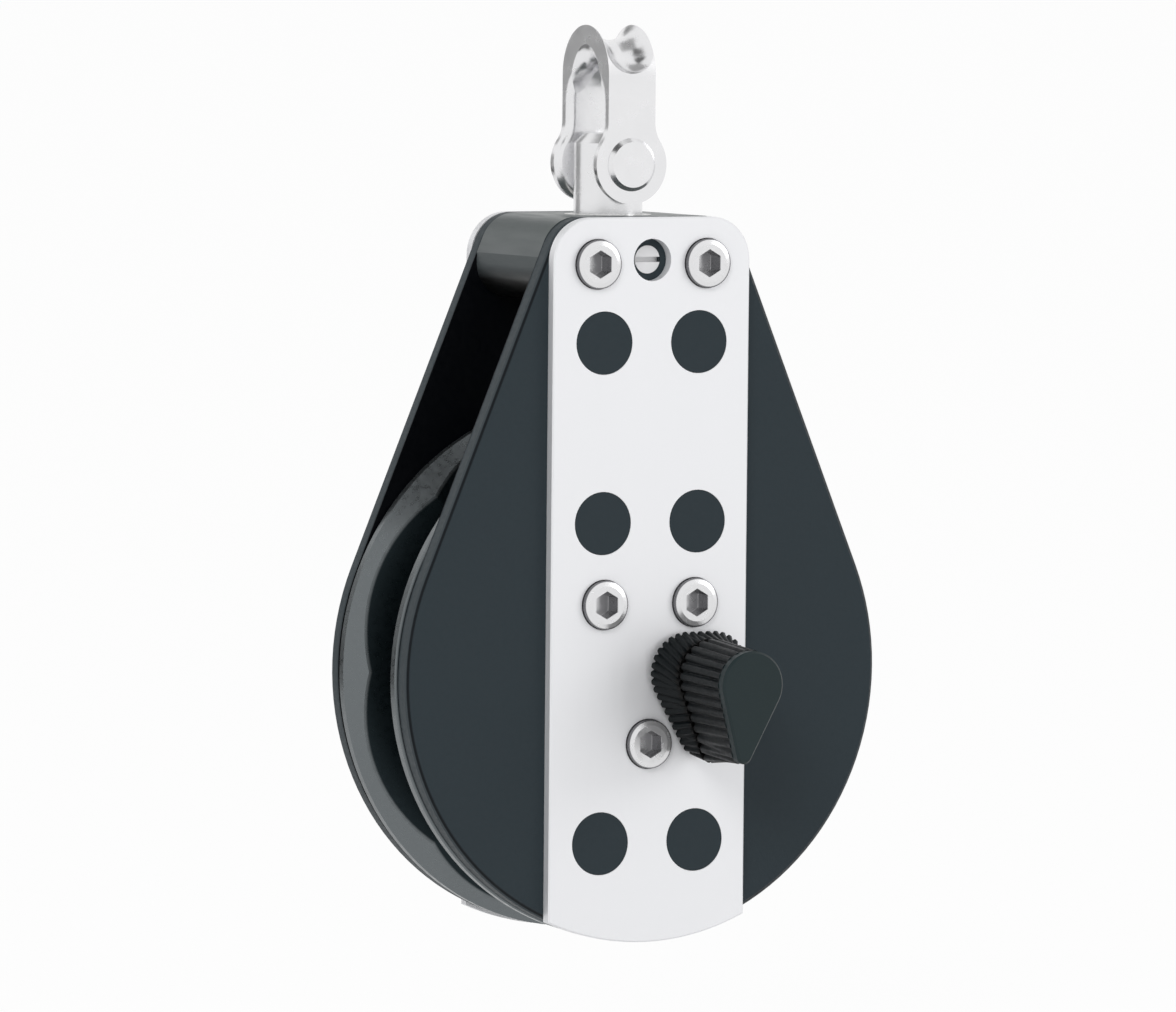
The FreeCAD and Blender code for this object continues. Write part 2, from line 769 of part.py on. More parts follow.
def turned_point(point, centre, angle):
    """A point turned anticlockwise about another, seen from the knob side."""
    across, up = point[0] - centre[0], point[1] - centre[1]
    return (centre[0] + across * cosine(angle) - up * sine(angle),
            centre[1] + across * sine(angle) + up * cosine(angle))


# Pawl: drawn switched off, swung back from the teeth by its swing angle.
pivot = (pivot_x, pivot_z)
tip = turned_point(polar(pawl_tip_radius, tip_angle), pivot, s.pawl_swing)
tip_inner = turned_point(polar(pawl_tip_radius - 3.4, tip_angle), pivot, s.pawl_swing)
tip_outer = turned_point(polar(pawl_tip_radius - 1.65, tip_angle - 13.5), pivot, s.pawl_swing)
elbow = (pivot_x - s.pawl_boss_radius * 0.4, heel_top)
pawl = new_body("pawl")
slab(pawl, "arm", -pawl_half, pawl_half, outline_of([
    tip,
    tip_inner,
    elbow,
    (s.knob_x - s.pawl_boss_radius / 2, heel_top),
    (s.knob_x - s.pawl_boss_radius / 2, heel_top - s.heel_thickness),
    (pivot_x - s.pawl_boss_radius * 0.6, pivot_z - s.pawl_boss_radius * 0.7),
    (pivot_x + s.pawl_boss_radius * 0.7, pivot_z - s.pawl_boss_radius * 0.2),
    (pivot_x + s.pawl_boss_radius * 0.9, pivot_z + s.pawl_boss_radius * 0.4),
    tip_outer,
]))
slab(pawl, "boss", -pawl_half, pawl_half, circles((pivot_x, pivot_z, s.pawl_boss_radius)))
cut(pawl, "pin_hole", -pawl_half, pawl_half,
    circles((pivot_x, pivot_z, s.pawl_pin_radius + s.running_gap)))
nodes.append(pawl)

# Pawl spring: a leaf on the pawl's inner side whose free end leans to the pocket's roof.
edge_x, edge_z = tip_inner[0] - elbow[0], tip_inner[1] - elbow[1]
edge_length = root(edge_x * edge_x + edge_z * edge_z)


def beside(fraction, away):
    """A point at a fraction of the pawl's inner edge and a distance off it."""
    return (elbow[0] + edge_x * fraction - edge_z * away / edge_length,
            elbow[1] + edge_z * fraction + edge_x * away / edge_length)


spring = new_body("pawl_spring")
slab(spring, "leaf", -pawl_half * 0.7, pawl_half * 0.7, outline_of([
    beside(0.1, 0),
    beside(0.55, 0),
    beside(1.0, s.spring_thickness * 6),
    beside(1.0, s.spring_thickness * 7.2),
    beside(0.5, s.spring_thickness),
    beside(0.1, s.spring_thickness),
]))
nodes.append(spring)

# Knob shaft: a stem from the knob to a cam that holds the pawl back, with a pilot end.
shaft = new_body("knob_shaft")
slab(shaft, "stem", -(knob_base + s.knob_socket_depth), -pawl_half,
     circles((s.knob_x, s.knob_z, s.shaft_radius)))
slab(shaft, "cam", -pawl_half, pawl_half, circles((s.knob_x, s.knob_z, s.cam_radius)))
slab(shaft, "nose", -pawl_half, pawl_half,
     circles((s.knob_x, s.knob_z - cam_reach + s.cam_nose_radius, s.cam_nose_radius)))
slab(shaft, "pilot", pawl_half, pilot_end, circles((s.knob_x, s.knob_z, s.shaft_pilot_radius)))
nodes.append(shaft)

# Knob bush: a plain bearing for the shaft through the strap and cheek.
bush = new_body("knob_bush")
slab(bush, "ring", -strap_face, -cheek_inner, circles(
    (s.knob_x, s.knob_z, s.bush_radius), (s.knob_x, s.knob_z, s.shaft_radius + s.running_gap)))
nodes.append(bush)

# Knob: a ribbed lever, with a skirt that narrows to a seam and a taller grip, its lobe hanging down.
RIB_STEPS = 6
OUTLINE_RUNS = 7


def lever_outline(rounds, inset, rib, rib_count, depth):
    """A closed curve at a depth under the knob's face, round a row of discs, with ribs across it."""
    sides = []
    for step in range(720):
        turn = math.pi + math.pi * step / 360
        reach, x, z, radius = max(
            (x * math.cos(turn) + z * math.sin(turn) + radius, x, z, radius) for x, z, radius in rounds)
        sides.append((x + (radius - inset) * math.cos(turn), z + (radius - inset) * math.sin(turn), turn))
    sides.append(sides[0][:2] + (3 * math.pi,))
    lengths = [0.0]
    for before, after in zip(sides, sides[1:]):
        lengths.append(lengths[-1] + math.hypot(after[0] - before[0], after[1] - before[1]))
    count = int(rib_count.value) * RIB_STEPS
    points = []
    place = 0
    for index in range(count):
        along = lengths[-1] * index / count
        while lengths[place + 1] < along:
            place += 1
        part = (along - lengths[place]) / (lengths[place + 1] - lengths[place])
        x, z, turn = (a + (b - a) * part for a, b in zip(sides[place], sides[place + 1]))
        wave = rib * math.sin(math.pi * index / RIB_STEPS) ** 6
        points.append(vec(s.knob_x.value + x - wave * math.cos(turn), -strap_face.value - depth,
                          s.knob_z.value + z - wave * math.sin(turn)))
    curve = Part.BSplineCurve()
    curve.interpolate(Points=points, PeriodicFlag=True)
    knots = curve.getKnots()
    ends = [knots[count * run // OUTLINE_RUNS] for run in range(OUTLINE_RUNS + 1)]
    return Part.Wire([curve.toShape(start, end) for start, end in zip(ends, ends[1:])])


def lever_tier(low_rounds, high_rounds, low, high, inset, rib, rib_count):
    """A ribbed solid between two heights above the strap."""
    low_wire = lever_outline(low_rounds, inset, rib, rib_count, low)
    high_wire = lever_outline(high_rounds, inset, rib, rib_count, high)
    return Part.makeLoft([low_wire, high_wire], True, True)


shoulder = s.skirt_shoulder_spread.value
skirt_rounds = [
    (-shoulder, -s.skirt_shoulder_sink.value, s.skirt_shoulder_radius.value),
    (shoulder, -s.skirt_shoulder_sink.value, s.skirt_shoulder_radius.value),
    (0.0, -s.skirt_lobe_drop.value, s.skirt_lobe_radius.value),
]
grip_root = [
    (0.0, -s.grip_root_sink.value, s.grip_root_radius.value),
    (0.0, -s.grip_root_lobe_drop.value, s.grip_root_lobe_radius.value),
]
grip_end = [
    (0.0, -s.grip_end_sink.value, s.grip_end_radius.value),
    (-s.grip_end_lobe_shift.value, -s.grip_end_lobe_drop.value, s.grip_end_lobe_radius.value),
]
cap_face = [(x, z, radius - s.cap_edge.value) for x, z, radius in grip_end]
skirt_low = knob_clearance.value
skirt_top = skirt_low + s.skirt_height.value
seam_top = skirt_top + s.knob_seam_width.value
face_height = s.knob_height.value
cap_low = face_height - s.cap_height.value
cap_high = face_height - s.cap_edge.value
rib = s.rib_depth.value
bite = s.tier_bite.value
seam_inset = s.knob_seam_depth.value + rib
cap_inset = s.cap_inset.value
grip_ribs = s.grip_rib_count
skirt = lever_tier(skirt_rounds, grip_root, skirt_low, skirt_top, 0.0, rib, s.skirt_rib_count)
seam = lever_tier(grip_root, grip_root, skirt_top - bite, seam_top + bite, seam_inset, 0.0, grip_ribs)
grip = lever_tier(grip_root, grip_end, seam_top, cap_low, 0.0, rib, grip_ribs)
cap = lever_tier(grip_end, grip_end, cap_low, cap_high, cap_inset, 0.0, grip_ribs)
cap_bevel = lever_tier(grip_end, cap_face, cap_high, face_height, cap_inset, 0.0, grip_ribs)
socket_top = knob_base.value + s.knob_socket_depth.value
socket = Part.makeCylinder(
    s.shaft_radius.value + s.seat_gap.value, s.knob_socket_depth.value,
    vec(s.knob_x, -socket_top, s.knob_z), vec(0, 1, 0))
nodes.append(feature("ratchet_knob", skirt.fuse([seam, grip, cap, cap_bevel]).cut(socket)))

# Swivel post: turns in the head block, held by a washer and a pinned nut underneath.
washer_top = pocket_top - s.running_gap
nut_top = washer_top - s.swivel_washer_thickness
nut_bottom = nut_top - s.nut_height
nut_middle = (nut_top + nut_bottom) / 2
post_top = pin_height + s.post_top_above_pin


def column(body, name, z_low, z_high, *radii):
    """A pad along Z about the post's axis, solid or with a round hole."""
    sketch = new_sketch(body, "XY_Plane", name + "_outline", z_low)
    for radius in radii:
        add_circle(sketch, 0, 0, radius)
    return add_pad(body, sketch, name, z_high - z_low)


def cross_hole(body, name, length):
    """A hole along X for the pin that locks the nut."""
    sketch = new_sketch(body, "YZ_Plane", name + "_outline")
    add_circle(sketch, 0, nut_middle, s.nut_pin_radius + s.seat_gap)
    return add_pocket(body, sketch, name, length, midplane=True)


post = new_body("swivel_post")
barrel = column(post, "barrel", washer_top, post_top, s.post_radius)


def is_post_top(edge):
    return all(vertex.Z > post_top.value - 1e-6 for vertex in edge.Vertexes)


add_edge_feature(post, "Chamfer", "top", barrel, is_post_top, Size=s.post_chamfer)
column(post, "stem", nut_bottom, washer_top, s.post_thread_radius)
sketch = new_sketch(post, "XY_Plane", "groove_outline", lock_height + s.lock_groove_width / 2)
add_circle(sketch, 0, 0, s.post_radius * 1.2)
add_circle(sketch, 0, 0, s.lock_groove_radius)
add_pocket(post, sketch, "groove", s.lock_groove_width)
cut(post, "pin_hole", -s.post_radius * 1.1, s.post_radius * 1.1,
    circles((0, pin_height, s.pin_radius + s.running_gap)))
cross_hole(post, "nut_pin_hole", s.post_radius * 3)
nodes.append(post)

washer = new_body("thrust_washer")
column(washer, "ring", nut_top, washer_top, nut_pocket_radius - s.washer_pocket_gap,
       s.post_thread_radius + s.seat_gap)
nodes.append(washer)

nut = new_body("swivel_nut")
sketch = new_sketch(nut, "XY_Plane", "hexagon", nut_bottom)
half_flats = s.nut_flats / 2
add_outline(sketch, [
    (half_flats, -nut_corner / 2),
    (half_flats, nut_corner / 2),
    (0, nut_corner),
    (-half_flats, nut_corner / 2),
    (-half_flats, -nut_corner / 2),
    (0, -nut_corner),
])
add_pad(nut, sketch, "prism", s.nut_height)
round_hole(nut, "thread", nut_bottom, nut_top, s.post_thread_radius + s.seat_gap)
cross_hole(nut, "pin_hole", s.nut_flats * 2)
nodes.append(nut)

nut_pin = new_body("nut_cotter_pin")
sketch = new_sketch(nut_pin, "YZ_Plane", "outline")
add_circle(sketch, 0, nut_middle, s.nut_pin_radius)
add_pad(nut_pin, sketch, "pin", s.nut_flats, midplane=True)
nodes.append(nut_pin)

post_bush = new_body("post_bush")
column(post_bush, "ring", bush_bottom, head_top, bush_outer, post_bore)
nodes.append(post_bush)

# Lock screw: its point enters the post's groove, and it can be run in to stop the swivel.
lock = new_body("lock_screw")
lock_face = strap_face - s.lock_sunk
dog_start = bush_outer + s.lock_dog_gap
dog_end = s.lock_groove_radius + s.lock_travel + s.lock_stop_gap
slab(lock, "thread", -lock_face, -dog_start, circles((0, lock_height, s.lock_radius)))
slab(lock, "dog", -dog_start, -dog_end, circles((0, lock_height, s.lock_dog_radius)))
slot_half = s.lock_slot_width / 2
cut(lock, "slot", -lock_face, s.lock_slot_depth - lock_face, outline_of([
    (-s.lock_radius * 1.2, lock_height - slot_half),
    (s.lock_radius * 1.2, lock_height - slot_half),
    (s.lock_radius * 1.2, lock_height + slot_half),
    (-s.lock_radius * 1.2, lock_height + slot_half)]))
nodes.append(lock)

# Shackle bow: two ears, two legs and an arch across Y, with a saddle hollowed in its outer side.
bow = new_body("bow_blank")
bow_spring = pin_height + s.bow_spring_above_pin
eye_spring = pin_height + s.eye_spring_above_pin


def across_x(body, name, draw, length, remove=False):
    """A pad or pocket along X, even on both sides, drawn in Y and Z."""
    sketch = new_sketch(body, "YZ_Plane", name + "_outline")
    draw(sketch)
    make = add_pocket if remove else add_pad
    return make(body, sketch, name, length, midplane=True)


leg_width = s.leg_half_width * 2
across_x(bow, "arch", circles((0, bow_spring, shackle_outer)), leg_width)
across_x(bow, "legs", outline_of([
    (-shackle_outer, pin_height), (shackle_outer, pin_height),
    (shackle_outer, bow_spring), (-shackle_outer, bow_spring)]), leg_width)
across_x(bow, "eye", circles((0, eye_spring, shackle_inner)), leg_width * 2, remove=True)
ear_bottom = pin_height - s.ear_radius
across_x(bow, "gap", outline_of([
    (-shackle_inner, ear_bottom), (shackle_inner, ear_bottom),
    (shackle_inner, eye_spring), (-shackle_inner, eye_spring)]), leg_width * 2, remove=True)
for side, name in ((FRONT, "front_ear"), (REAR, "rear_ear")):
    low, high = span(side, shackle_inner, shackle_outer)
    ear = slab(bow, name, low, high, circles((0, pin_height, s.ear_radius)))


def is_waist(edge):
    return (runs_along_y(edge) and abs(abs(edge.Vertexes[0].X) - s.leg_half_width.value) < 1e-4
            and edge.Vertexes[0].Z < eye_spring.value)


waist = add_edge_feature(bow, "Fillet", "waist", ear, is_waist, Radius=s.waist_radius)


def is_eye_edge(edge):
    return (abs(edge.Vertexes[0].Z - eye_spring.value) < 1e-4 and edge.Curve.TypeId == "Part::GeomCircle"
            and abs(edge.Curve.Radius - shackle_inner.value) < 1e-4)


add_edge_feature(bow, "Fillet", "eye_edges", waist, is_eye_edge, Radius=s.eye_edge_radius)
cut(bow, "pin_holes", -shackle_outer * 1.1, shackle_outer * 1.1,
    circles((0, pin_height, s.pin_radius + s.seat_gap)))

saddle_ring = shackle_outer - s.saddle_depth + s.saddle_tube_radius
tools = []
for side, name in ((FRONT, "saddle_front"), (REAR, "saddle_rear")):
    saddle = doc.addObject("Part::Torus", name)
    saddle.Placement = FreeCAD.Placement(
        vec(0, 0, bow_spring), FreeCAD.Rotation(vec(0, 0, 1), vec(0, side, 0), vec(-side, 0, 0), "XZY"))
    bind(saddle, Radius1=saddle_ring, Radius2=s.saddle_tube_radius, Angle3=s.saddle_half_sweep,
         Placement__Base__z=bow_spring)
    end = doc.addObject("Part::Sphere", name + "_end")
    bind(end, Radius=s.saddle_tube_radius,
         Placement__Base__y=saddle_ring * sine(s.saddle_half_sweep) * side,
         Placement__Base__z=bow_spring + saddle_ring * cosine(s.saddle_half_sweep))
    tools += [saddle, end]

# The eye widens upwards towards both sides, so that the crown is rolled and bears on a lashing.
CROWN_STEPS = 5
crown_sections = []
for step in range(-CROWN_STEPS, CROWN_STEPS + 1):
    turn = s.crown_section_angle * step
    section = doc.addObject("Part::Ellipse", "crown_section")
    section.Placement = FreeCAD.Placement(
        vec(0, 0, eye_spring), FreeCAD.Rotation(vec(0, 0, 1), vec(0, 1, 0), vec(-1, 0, 0), "XZY"))
    bind(section, MinorRadius=shackle_inner - s.crown_side_gap,
         MajorRadius=shackle_inner - s.crown_top_gap + s.crown_radius - s.crown_radius * cosine(turn),
         Placement__Base__x=s.crown_radius * sine(turn), Placement__Base__z=eye_spring)
    crown_sections.append(section)
crown = doc.addObject("Part::Loft", "crown_tool")
crown.Sections = crown_sections
crown.Solid = True
hollow = doc.addObject("Part::MultiFuse", "saddle_tool")
hollow.Shapes = tools
saddled = doc.addObject("Part::Cut", "saddled_bow")
saddled.Base, saddled.Tool = bow, hollow
shackle = doc.addObject("Part::Cut", "shackle_bow")
shackle.Label = "shackle_bow"
shackle.Base, shackle.Tool = saddled, crown
nodes.append(shackle)

# Shackle pin and the clip that holds it.
pin = new_body("shackle_pin")
slab(pin, "shank", -shackle_outer, shackle_outer + s.pin_tail, circles((0, pin_height, s.pin_radius)))
pin_head_face = shackle_outer + s.pin_head_thickness
pin_head = slab(pin, "head", -pin_head_face, -shackle_outer, circles((0, pin_height, s.pin_head_radius)))


def is_head_rim(edge):
    return all(abs(vertex.Y + pin_head_face.value) < 1e-6 for vertex in edge.Vertexes)


add_edge_feature(pin, "Chamfer", "head_edge", pin_head, is_head_rim, Size=s.pin_head_chamfer)
clip_low = shackle_outer + s.running_gap
cut(pin, "clip_groove", clip_low, clip_low + s.clip_thickness + s.running_gap,
    circles((0, pin_height, s.pin_radius * 2), (0, pin_height, s.clip_groove_radius)))
nodes.append(pin)

clip = new_body("pin_ring")
clip_high = clip_low + s.clip_thickness
slab(clip, "disc", clip_low, clip_high, circles(
    (0, pin_height, s.clip_radius), (0, pin_height, s.clip_groove_radius + s.seat_gap)))
cut(clip, "mouth", clip_low, clip_high, outline_of([
    (-s.clip_groove_radius, pin_height - s.clip_radius * 1.2),
    (s.clip_groove_radius, pin_height - s.clip_radius * 1.2),
    (s.clip_groove_radius * 0.8, pin_height),
    (-s.clip_groove_radius * 0.8, pin_height)]))
nodes.append(clip)

doc.recompute()
for obj in doc.Objects:
    if "Invalid" in obj.State or "Error" in obj.State:
        raise RuntimeError(f"{obj.Name} failed: {obj.State}")
for node in nodes:
    if node.Shape.isNull() or not node.Shape.isValid():
        raise RuntimeError(f"{node.Label} has no valid shape")

os.makedirs("parts", exist_ok=True)
for node in nodes:
    node.Shape.exportStep(f"parts/{node.Label}.step")
    box = node.Shape.BoundBox
    print(f"{node.Label}: volume {node.Shape.Volume:.1f}, solids {len(node.Shape.Solids)}, "
          f"X {box.XMin:.2f} {box.XMax:.2f}, Y {box.YMin:.2f} {box.YMax:.2f}, "
          f"Z {box.ZMin:.2f} {box.ZMax:.2f}")
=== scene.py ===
import math
import bpy
from mathutils import Matrix, Vector

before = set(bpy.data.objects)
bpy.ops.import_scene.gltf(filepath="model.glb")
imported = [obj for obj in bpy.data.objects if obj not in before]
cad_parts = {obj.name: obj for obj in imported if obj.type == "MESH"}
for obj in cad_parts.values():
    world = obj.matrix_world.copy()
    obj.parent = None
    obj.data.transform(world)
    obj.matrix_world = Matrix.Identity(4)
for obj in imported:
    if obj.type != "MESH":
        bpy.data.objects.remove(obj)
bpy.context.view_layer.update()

# Straps
# Two flat stainless plates, cut with round holes and a round lower end, then ground along their length.
# They carry the load from the hub to the head, and the screws clamp them to the cheeks.
STRAP_STEEL = (0.89, 0.895, 0.915)
GROUND_ALONG = (2600.0, 2600.0, 60.0)


def new_material(name, colour, metallic, roughness):
    """A surface of one colour, with its shader returned so that a finish can be added to it."""
    material = bpy.data.materials.new(name)
    material.use_nodes = True
    shader = material.node_tree.nodes["Principled BSDF"]
    shader.inputs["Base Color"].default_value = (*colour, 1.0)
    shader.inputs["Metallic"].default_value = metallic
    shader.inputs["Roughness"].default_value = roughness
    return material, shader


def grain(material, shader, stretch, low, high):
    """Roughness from low to high by noise over the piece's own coordinates. Returns the noise as a height."""
    nodes, links = material.node_tree.nodes, material.node_tree.links
    place = nodes.new("ShaderNodeTexCoord")
    scale = nodes.new("ShaderNodeMapping")
    scale.inputs["Scale"].default_value = stretch
    noise = nodes.new("ShaderNodeTexNoise")
    noise.inputs["Scale"].default_value = 1.0
    noise.inputs["Detail"].default_value = 4.0
    spread = nodes.new("ShaderNodeMapRange")
    spread.inputs["From Min"].default_value = 0.3
    spread.inputs["From Max"].default_value = 0.7
    spread.inputs["To Min"].default_value = low
    spread.inputs["To Max"].default_value = high
    links.new(place.outputs["Object"], scale.inputs["Vector"])
    links.new(scale.outputs["Vector"], noise.inputs["Vector"])
    links.new(noise.outputs["Fac"], spread.inputs["Value"])
    links.new(spread.outputs["Result"], shader.inputs["Roughness"])
    return noise.outputs["Fac"]


def dress(material, slot, *names):
    """Gives CAD nodes a material."""
    for name in names:
        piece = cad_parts[name]
        piece.data.materials.clear()
        piece.data.materials.append(material)


strap_metal, shader = new_material("ground strap steel", STRAP_STEEL, 0.4, 0.45)
grain(strap_metal, shader, GROUND_ALONG, 0.38, 0.5)
dress(strap_metal, "stainless", "front_strap", "rear_strap")

# Screws
# Ten low-headed stainless screws with hexagon sockets, machined bright, that clamp the straps, cheeks,
# head block and hub together, with painted shade on the socket walls. The slotted lock screw at the top sits
# in its own window.
SOCKET_WALL_SHADE = (0.16, 0.16, 0.17)
SCREW_FACE = (0.78, 0.78, 0.79)
SOCKET_FLOOR_Y, SOCKET_MOUTH_Y = (0.011552, 0.01168), (0.014336, 0.014368)
FINE_GRAIN = (900.0, 900.0, 900.0)


def from_middle(material, axis):
    """Distance from the sheave's middle along one axis."""
    nodes, links = material.node_tree.nodes, material.node_tree.links
    place = nodes.new("ShaderNodeTexCoord")
    split = nodes.new("ShaderNodeSeparateXYZ")
    away = nodes.new("ShaderNodeMath")
    away.operation = "ABSOLUTE"
    links.new(place.outputs["Object"], split.inputs[0])
    links.new(split.outputs[axis], away.inputs[0])
    return away.outputs[0]


def banded(material, shader, distance, *bands):
    """Colours by a distance: each band is the metres at which a colour is reached, and that colour."""
    nodes, links = material.node_tree.nodes, material.node_tree.links
    first, last = bands[0][0], bands[-1][0]
    share = nodes.new("ShaderNodeMapRange")
    share.inputs["From Min"].default_value = first
    share.inputs["From Max"].default_value = last
    ramp = nodes.new("ShaderNodeValToRGB")
    steps = ramp.color_ramp.elements
    steps[0].color = (*bands[0][1], 1.0)
    steps[1].color = (*bands[-1][1], 1.0)
    for metres, colour in bands[1:-1]:
        steps.new((metres - first) / (last - first)).color = (*colour, 1.0)
    links.new(distance, share.inputs["Value"])
    links.new(share.outputs["Result"], ramp.inputs["Fac"])
    links.new(ramp.outputs["Color"], shader.inputs["Base Color"])


screw_metal, shader = new_material("bright screw steel", SCREW_FACE, 0.7, 0.2)
grain(screw_metal, shader, FINE_GRAIN, 0.16, 0.3)
# The walls of each hexagon socket are painted dark grey as shade; the socket's floor keeps the bright face
# colour.
banded(screw_metal, shader, from_middle(screw_metal, "Y"),
       (SOCKET_FLOOR_Y[0], SCREW_FACE), (SOCKET_FLOOR_Y[1], SOCKET_WALL_SHADE),
       (SOCKET_MOUTH_Y[0], SOCKET_WALL_SHADE), (SOCKET_MOUTH_Y[1], SCREW_FACE))
dress(screw_metal, "stainless", "front_screws", "rear_screws")
lock_metal, shader = new_material("lock screw steel", SCREW_FACE, 0.3, 0.35)
grain(lock_metal, shader, FINE_GRAIN, 0.3, 0.42)
dress(lock_metal, "stainless", "lock_screw")

# Shackle and swivel post
# A forged and polished stainless shackle with a hollowed saddle, its pin and clip, and the turned post
# that it hangs on, which turns in the head block.
FORGED_STEEL = (0.80, 0.80, 0.81)
CLIP_STEEL = (0.55, 0.55, 0.56)


def relief(material, shader, height, strength, distance):
    """Fine relief from a height, on top of the piece's real shape."""
    bump = material.node_tree.nodes.new("ShaderNodeBump")
    bump.inputs["Strength"].default_value = strength
    bump.inputs["Distance"].default_value = distance
    material.node_tree.links.new(height, bump.inputs["Height"])
    material.node_tree.links.new(bump.outputs["Normal"], shader.inputs["Normal"])


shackle_metal, shader = new_material("polished forging", FORGED_STEEL, 1.0, 0.24)
height = grain(shackle_metal, shader, (350.0, 350.0, 350.0), 0.18, 0.3)
relief(shackle_metal, shader, height, 0.12, 0.0003)
dress(shackle_metal, "stainless", "shackle_bow", "shackle_pin", "swivel_post", "thrust_washer", "swivel_nut",
      "nut_cotter_pin")
clip_metal, shader = new_material("clip steel", CLIP_STEEL, 1.0, 0.3)
grain(clip_metal, shader, (700.0, 700.0, 700.0), 0.25, 0.4)
dress(clip_metal, "spring_steel", "pin_ring", "pawl_spring")

# Cheeks and head block
# Glass-filled black nylon mouldings with a fine satin grain. The cheeks have a bevel round the edge, painted
# dark as shade, and the edge is painted lighter as a highlight. Their round bosses fill the holes in the
# straps.
# Their smooth inner faces, between the cheeks, are painted almost black as shade.
CHEEK_INNER_SHADE = (0.0005, 0.001, 0.002)
CHEEK_RIM_HIGHLIGHT = (0.056, 0.068, 0.075)
CHEEK_BEVEL_SHADE = (0.004, 0.006, 0.008)
CHEEK_FACE = (0.028, 0.039, 0.046)
HEAD_NYLON = (0.078, 0.092, 0.094)
# Painted light on the head block: near black underneath as shade, lighter towards the top.
HEAD_UNDERSIDE_SHADE = (0.004, 0.004, 0.004)
HEAD_SIDE_SHADE = (0.068, 0.080, 0.084)
HEAD_TOP_LIGHT = (0.090, 0.106, 0.106)
MOULDED_ACROSS = (900.0, 120.0, 900.0)
cheek_plastic, shader = new_material("satin cheek nylon", CHEEK_FACE, 0.0, 0.5)
shader.inputs["Specular IOR Level"].default_value = 0.15
height = grain(cheek_plastic, shader, (1500.0, 1500.0, 1500.0), 0.42, 0.6)
# Painted light by distance from the middle: inner faces near black as shade, the edge lighter as a highlight,
# a dark line of shade on the bevel, then the face.
banded(cheek_plastic, shader, from_middle(cheek_plastic, "Y"), (0.00948, CHEEK_INNER_SHADE), (0.00964, CHEEK_FACE),
       (0.01004, CHEEK_RIM_HIGHLIGHT), (0.0116, CHEEK_RIM_HIGHLIGHT), (0.01172, CHEEK_BEVEL_SHADE), (0.01188, CHEEK_BEVEL_SHADE),
       (0.01202, CHEEK_FACE))
relief(cheek_plastic, shader, height, 0.25, 0.0001)
dress(cheek_plastic, "black_plastic", "front_cheek", "rear_cheek")
head_plastic, shader = new_material("smooth head nylon", HEAD_NYLON, 0.0, 0.38)
grain(head_plastic, shader, MOULDED_ACROSS, 0.3, 0.46)
# The head block is painted near black on its underside as shade, and lighter up its sides towards the top as
# painted light.
banded(head_plastic, shader, from_middle(head_plastic, "Z"), (0.05575, HEAD_UNDERSIDE_SHADE), (0.05795, HEAD_SIDE_SHADE),
       (0.0629, HEAD_TOP_LIGHT))
dress(head_plastic, "black_plastic", "head_block")

# Sheave
# An aluminium wheel, turned with thin rims and a flared groove, milled with eight flat facets that grip
# the line, and hard anodised. The facets low in the groove are painted darker than the flare and the rims,
# as shade. The flare leans outward, so its lower edge is found by the radius less the distance from the
# wheel's middle plane.
SHEAVE_FACET_SHADE = (0.011, 0.018, 0.021)
SHEAVE_FLARE = (0.15, 0.165, 0.172)
FLARE_INNER_Y, FLARE_OUTER_Y = 0.0025, 0.0075
sheave_metal, shader = new_material("dark anodised sheave", SHEAVE_FLARE, 0.85, 0.3)
grain(sheave_metal, shader, (1100.0, 1100.0, 1100.0), 0.24, 0.36)
nodes, links = sheave_metal.node_tree.nodes, sheave_metal.node_tree.links
place = nodes.new("ShaderNodeTexCoord")
flat = nodes.new("ShaderNodeVectorMath")
flat.operation = "MULTIPLY"
flat.inputs[1].default_value = (1.0, 0.0, 1.0)
radius = nodes.new("ShaderNodeVectorMath")
radius.operation = "LENGTH"
aside = nodes.new("ShaderNodeClamp")
aside.inputs["Min"].default_value = FLARE_INNER_Y
aside.inputs["Max"].default_value = FLARE_OUTER_Y
over_flare = nodes.new("ShaderNodeMath")
over_flare.operation = "SUBTRACT"
links.new(place.outputs["Object"], flat.inputs[0])
links.new(flat.outputs[0], radius.inputs[0])
links.new(from_middle(sheave_metal, "Y"), aside.inputs["Value"])
links.new(radius.outputs["Value"], over_flare.inputs[0])
links.new(aside.outputs[0], over_flare.inputs[1])
# Painted shade: the facets low in the groove are dark, the flare and the rims lighter.
banded(sheave_metal, shader, over_flare.outputs[0], (0.03025, SHEAVE_FACET_SHADE), (0.03045, SHEAVE_FLARE))
dress(sheave_metal, "dark_anodised", "sheave")

# Hub and bearing
# A moulded two-part hub with thin covers, two rows of acetal balls, hardened races and the ratchet ring
# with its pawl.
HUB_GREY = (0.06, 0.06, 0.062)
RACE_STEEL = (0.5, 0.5, 0.5)
ACETAL_WHITE = (0.82, 0.82, 0.79)
hub_plastic, shader = new_material("moulded hub", HUB_GREY, 0.0, 0.5)
grain(hub_plastic, shader, (800.0, 800.0, 800.0), 0.4, 0.6)
dress(hub_plastic, "hub_plastic", "hub_front", "hub_rear", "front_race_cover", "rear_race_cover")
race_metal, shader = new_material("ground bearing steel", RACE_STEEL, 1.0, 0.3)
grain(race_metal, shader, FINE_GRAIN, 0.22, 0.38)
dress(race_metal, "hard_steel", "ratchet_ring", "front_outer_race", "rear_outer_race", "pawl", "pawl_pin",
      "knob_shaft")
ball_plastic, shader = new_material("acetal", ACETAL_WHITE, 0.0, 0.25)
grain(ball_plastic, shader, FINE_GRAIN, 0.2, 0.32)
dress(ball_plastic, "acetal", "ball_row_front", "ball_row_rear", "post_bush", "knob_bush")

